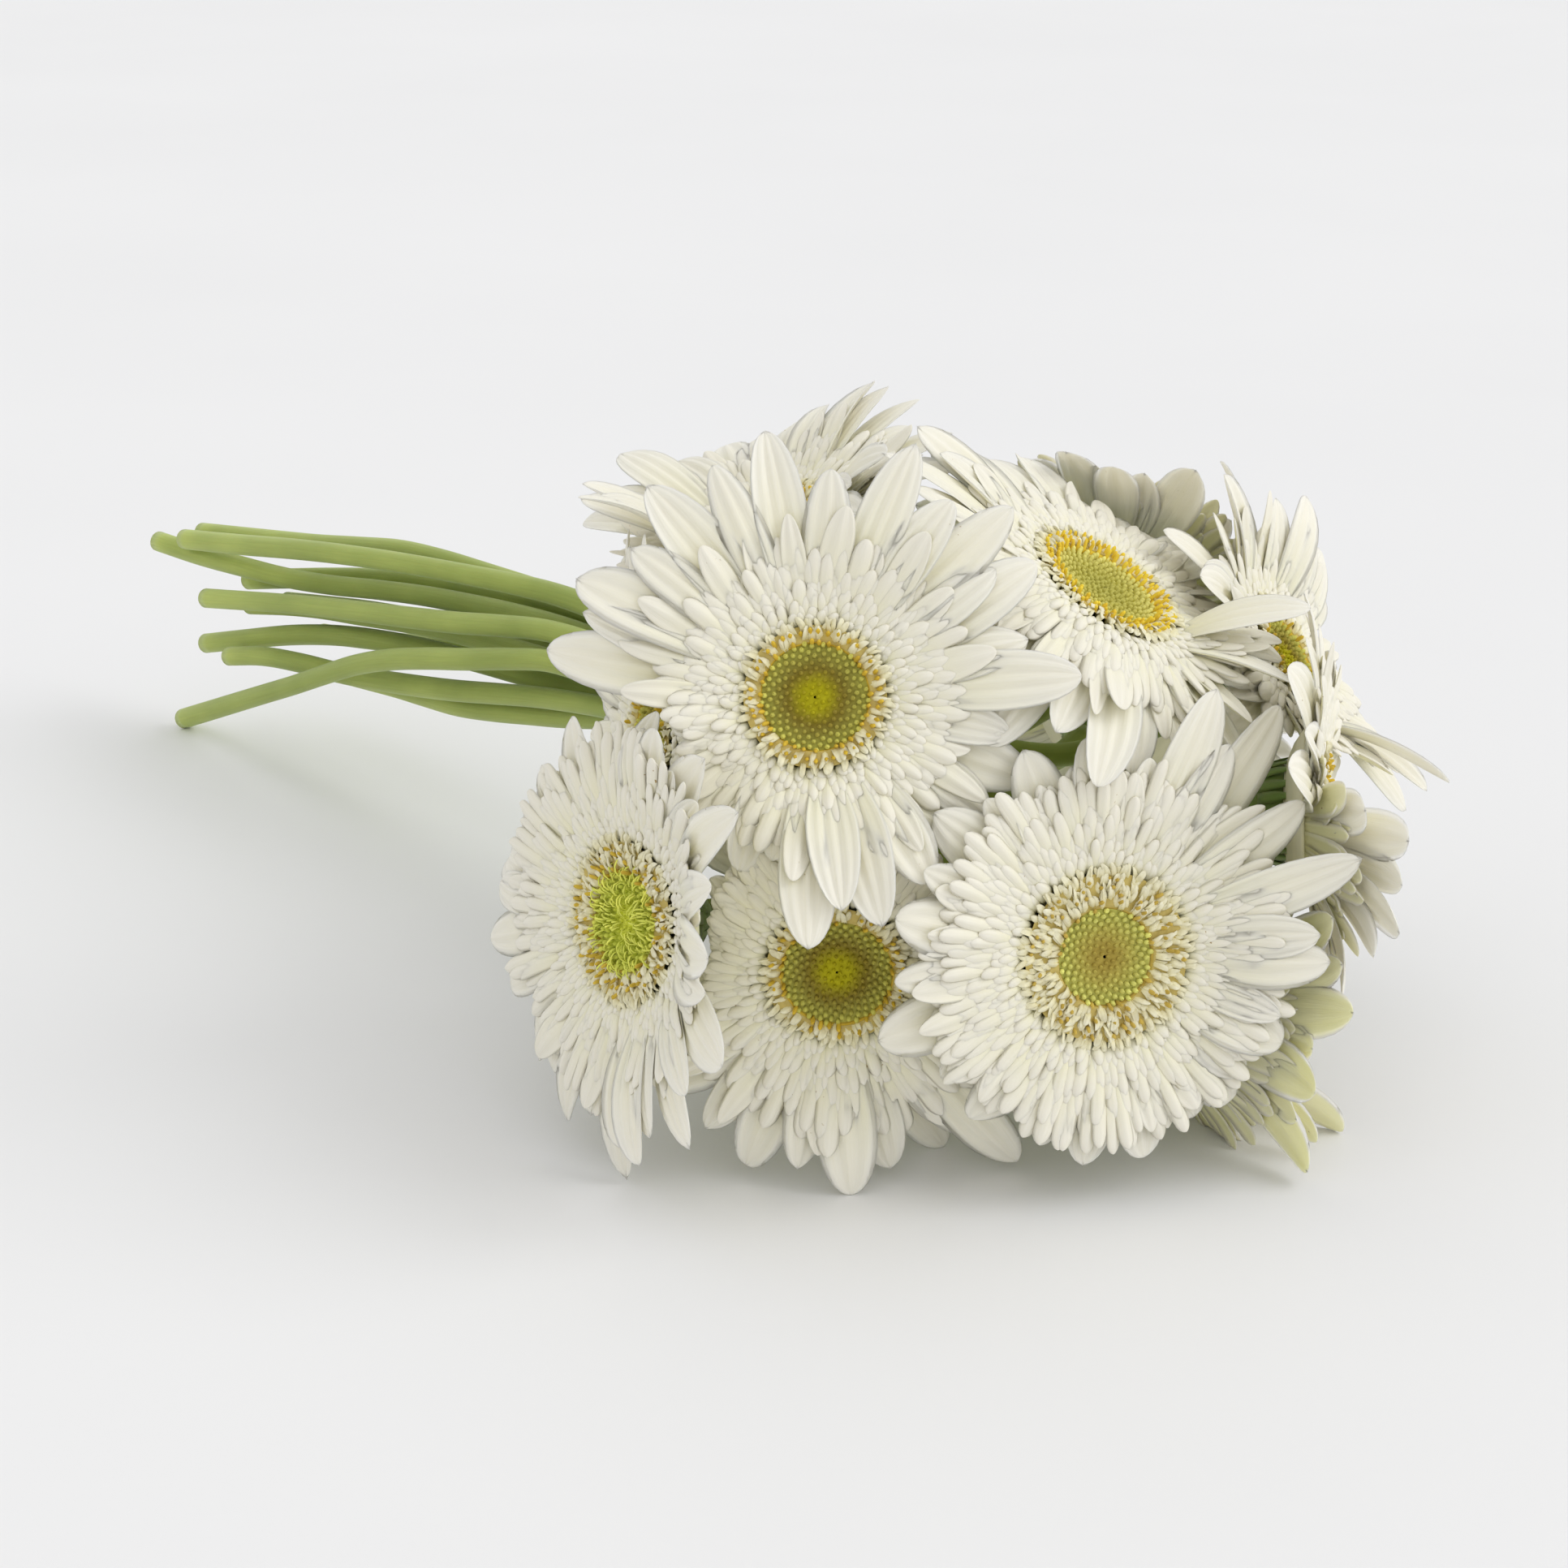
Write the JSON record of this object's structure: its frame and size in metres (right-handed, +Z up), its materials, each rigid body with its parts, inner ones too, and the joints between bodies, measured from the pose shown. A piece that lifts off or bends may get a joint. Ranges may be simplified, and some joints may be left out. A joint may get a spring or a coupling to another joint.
{
  "type": "cut gerbera bunch",
  "caption": "Hand-tied bunch of cut white gerberas lying on its side, the heads packed in a dome at one end and the bare green stems fanning out behind a rubber band.",
  "frame": {"origin": "on the surface it lies on, under the middle of the whole bunch", "axes": "+X along the bunch towards the flowers, with the stem ends at -X; +Z up"},
  "size_m": [0.4642, 0.2278, 0.1607],
  "materials": {
    "petal": "matt, creamy white, ridged, thin enough to glow",
    "disc": "matt, yellow-green buds with a golden ring",
    "involucre": "matt green, finely hairy",
    "stem": "matt green, finely hairy",
    "band": "matt"
  },
  "bodies": {
    "root": {"stem_01": "stem", "involucre_01": "involucre", "ray_florets_01": "petal", "disc_florets_01": "disc", "stem_02": "stem", "involucre_02": "involucre", "ray_florets_02": "petal", "disc_florets_02": "disc", "stem_03": "stem", "involucre_03": "involucre", "ray_florets_03": "petal", "disc_florets_03": "disc", "stem_04": "stem", "involucre_04": "involucre", "ray_florets_04": "petal", "disc_florets_04": "disc", "stem_05": "stem", "involucre_05": "involucre", "ray_florets_05": "petal", "disc_florets_05": "disc", "stem_06": "stem", "involucre_06": "involucre", "ray_florets_06": "petal", "disc_florets_06": "disc", "stem_07": "stem", "involucre_07": "involucre", "ray_florets_07": "petal", "disc_florets_07": "disc", "stem_08": "stem", "involucre_08": "involucre", "ray_florets_08": "petal", "disc_florets_08": "disc", "stem_09": "stem", "involucre_09": "involucre", "ray_florets_09": "petal", "disc_florets_09": "disc", "stem_10": "stem", "involucre_10": "involucre", "ray_florets_10": "petal", "disc_florets_10": "disc", "stem_11": "stem", "involucre_11": "involucre", "ray_florets_11": "petal", "disc_florets_11": "disc", "stem_12": "stem", "involucre_12": "involucre", "ray_florets_12": "petal", "disc_florets_12": "disc", "rubber_band": "band"}
  },
  "joints": []
}
